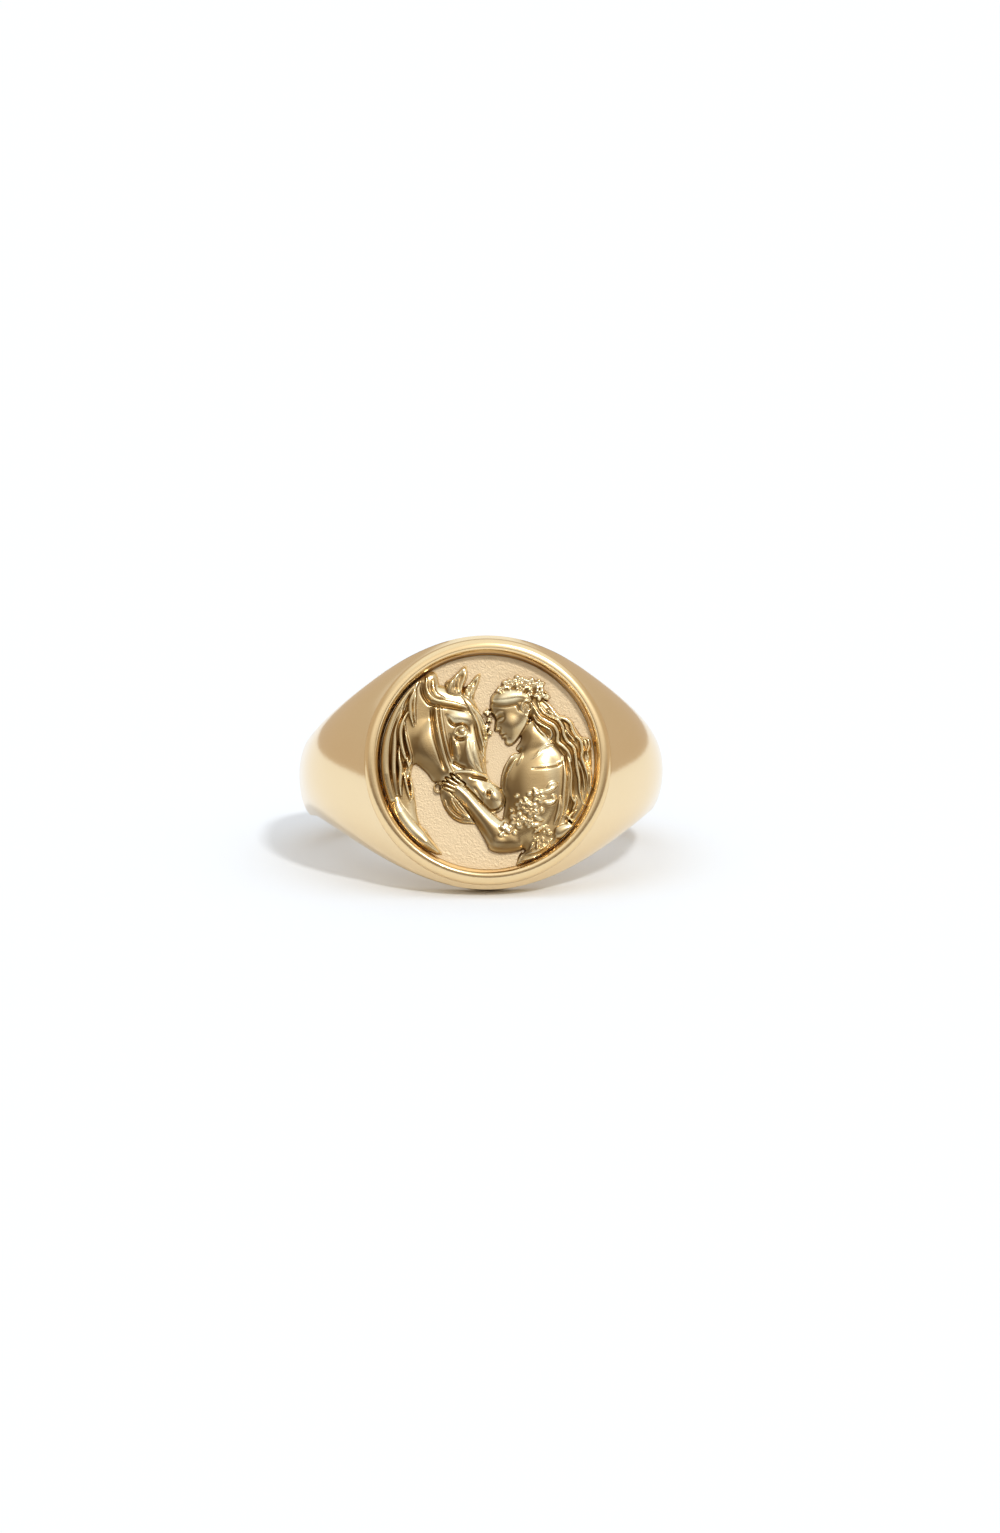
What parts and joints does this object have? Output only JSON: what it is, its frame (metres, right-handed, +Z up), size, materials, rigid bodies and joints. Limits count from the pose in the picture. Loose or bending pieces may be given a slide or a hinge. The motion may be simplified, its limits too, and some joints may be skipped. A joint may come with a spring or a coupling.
{
  "type": "signet ring",
  "caption": "Round-faced signet ring with a domed tapering shank, a bead rim and a medallion carrying a low relief of a horse and a woman.",
  "frame": {"origin": "centre of the finger bore, on its axis, level with the middle of the hoop's width", "axes": "+Z up with the ring lying on its side as it rests on a table, -Y towards the viewer, where the face looks forward and 15.9 degrees up, +X across the face to the viewer's right"},
  "size_m": [0.0204, 0.0225, 0.014],
  "materials": {
    "polished_gold": "polished",
    "rim_gold": "polished",
    "sandblasted_gold": "sandblasted",
    "horse_gold": "satin",
    "woman_gold": "satin"
  },
  "bodies": {
    "root": {"shank": "polished_gold", "bezel_rim": "rim_gold", "medallion_disc": "sandblasted_gold", "horse_relief": "horse_gold", "woman_relief": "woman_gold"}
  },
  "joints": []
}
